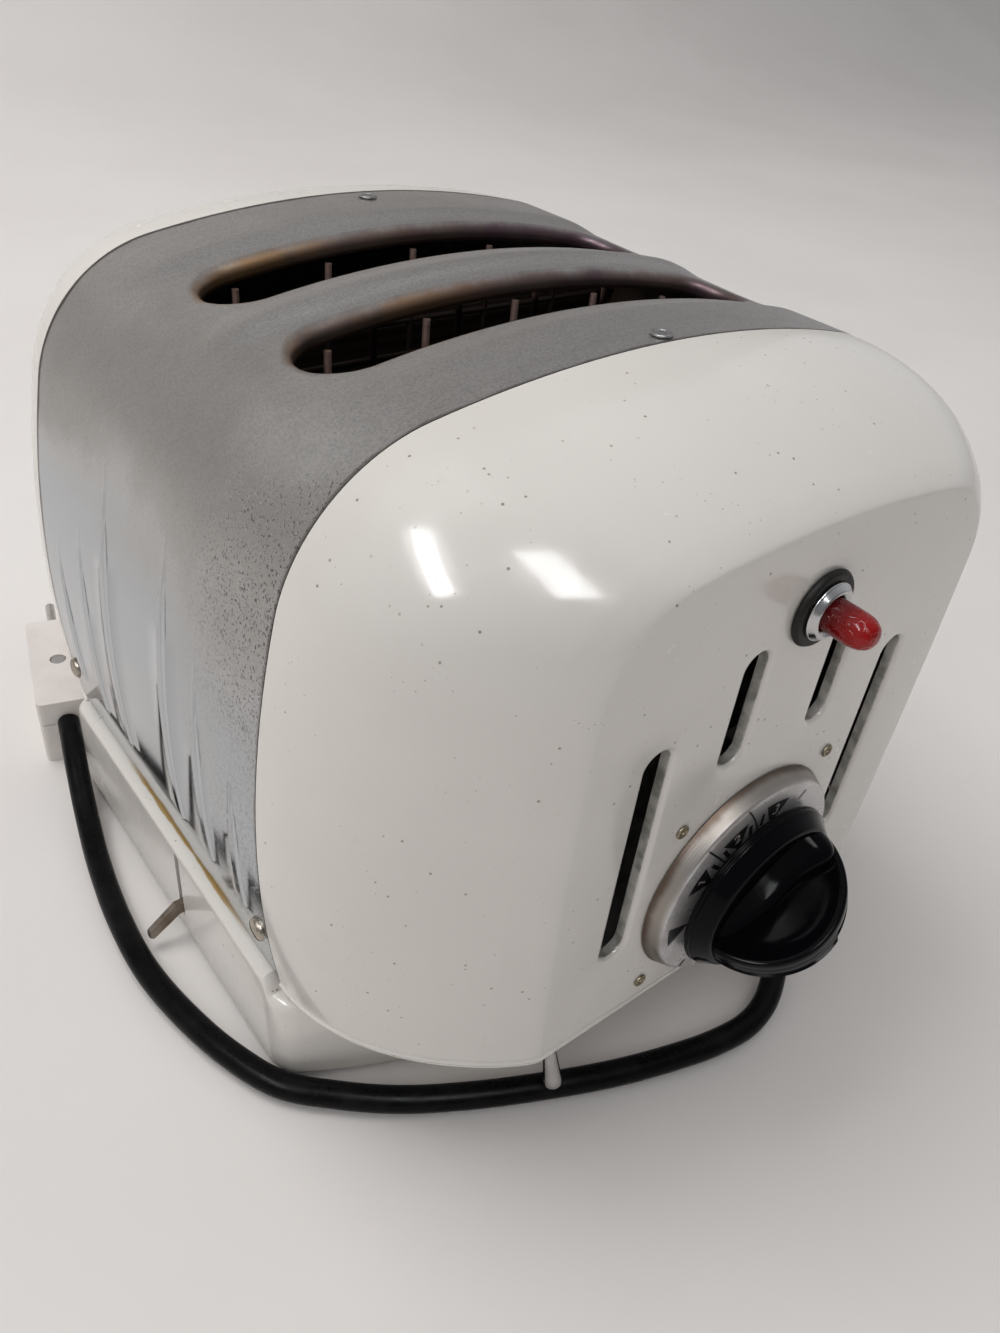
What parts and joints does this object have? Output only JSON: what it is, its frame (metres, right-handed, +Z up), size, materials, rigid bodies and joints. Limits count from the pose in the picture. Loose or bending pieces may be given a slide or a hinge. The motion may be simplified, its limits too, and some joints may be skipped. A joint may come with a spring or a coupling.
{
  "type": "two-slice toaster",
  "caption": "Slot toaster with domed enamel end caps round a chromed wrap, a dial timer with bar knob, a neon lamp, a finger lever, a toggle switch, rubber feet and a free cord with plug.",
  "frame": {"origin": "on the standing surface, under the middle of the toaster's outline seen from above, lever and knob included, cord and plug left out", "axes": "+Z up, -Y towards the control face, +X to the right of someone who looks at the control face; the bread slots run along X"},
  "size_m": [0.2769, 0.3493, 0.2199],
  "materials": {
    "cream_enamel": "gloss, specked",
    "worn_chrome": "worn, pitted",
    "bright_chrome": "polished",
    "plain_steel": "satin",
    "heat_darkened_steel": "dull",
    "rusted_wire": "rusty",
    "mica": "dull",
    "black_bakelite": "gloss",
    "polished_dial": "polished",
    "old_brass": "tarnished",
    "red_lens": "gloss",
    "black_rubber": "matt",
    "cord_jacket": "semi-gloss",
    "white_plastic": "satin"
  },
  "bodies": {
    "case": {"front_cap": "cream_enamel", "rear_cap": "cream_enamel", "body_wrap": "worn_chrome", "base_skirt": "cream_enamel", "bottom_plate": "plain_steel", "control_floor": "cream_enamel", "foot_front_left": "black_rubber", "foot_front_right": "black_rubber", "foot_rear_left": "black_rubber", "foot_rear_right": "black_rubber", "side_screw_front_left": "bright_chrome", "side_screw_front_right": "bright_chrome", "side_screw_rear_left": "bright_chrome", "side_screw_rear_right": "bright_chrome", "top_rivet_front": "worn_chrome", "top_rivet_rear": "worn_chrome", "left_end_plate": "plain_steel", "right_end_plate": "plain_steel", "front_baffle": "plain_steel", "rear_baffle": "plain_steel", "element_front": "mica", "element_centre": "mica", "element_rear": "mica", "guard_front_outer": "rusted_wire", "guard_front_inner": "rusted_wire", "guard_rear_inner": "rusted_wire", "guard_rear_outer": "rusted_wire", "lift_guide_rod": "plain_steel", "timer_housing": "plain_steel", "dial_plate": "polished_dial", "dial_rivet_1": "old_brass", "dial_rivet_2": "old_brass", "dial_rivet_3": "old_brass", "dial_rivet_4": "old_brass", "lamp_washer": "black_rubber", "lamp_bezel": "bright_chrome", "lamp_lens": "red_lens", "lamp_nut": "plain_steel", "switch_body": "black_bakelite", "switch_bush": "bright_chrome", "switch_nut": "bright_chrome", "terminal_block": "black_bakelite", "cord_gland": "black_rubber", "cord": "cord_jacket", "plug_body": "white_plastic", "plug_cover": "white_plastic", "plug_screw": "plain_steel", "plug_pin_low": "old_brass", "plug_pin_middle": "old_brass", "plug_pin_high": "old_brass"},
    "knob": {"timer_knob": "black_bakelite", "timer_shaft": "plain_steel"},
    "lift": {"rack_front": "heat_darkened_steel", "rack_rear": "heat_darkened_steel", "lift_carriage": "plain_steel", "lift_lever": "plain_steel"},
    "toggle": {"switch_bat": "bright_chrome"},
    "tray": {"crumb_tray": "plain_steel"}
  },
  "joints": [
    {"name": "knob_turn", "type": "hinge", "parent": "case", "child": "knob", "pos_m": [0.0021, -0.1163, 0.08], "axis": [0, 1, 0], "range_deg": [0, 180]},
    {"name": "bread_lift", "type": "slide", "parent": "case", "child": "lift", "axis": [0, 0, 1], "range_m": [0, 0.022]},
    {"name": "switch_toggle", "type": "hinge", "parent": "case", "child": "toggle", "pos_m": [-0.0554, -0.1069, 0.0336], "axis": [1, 0, 0], "range_deg": [0, 38]},
    {"name": "tray_slide", "type": "slide", "parent": "case", "child": "tray", "axis": [1, 0, 0], "range_m": [0, 0.15]}
  ]
}
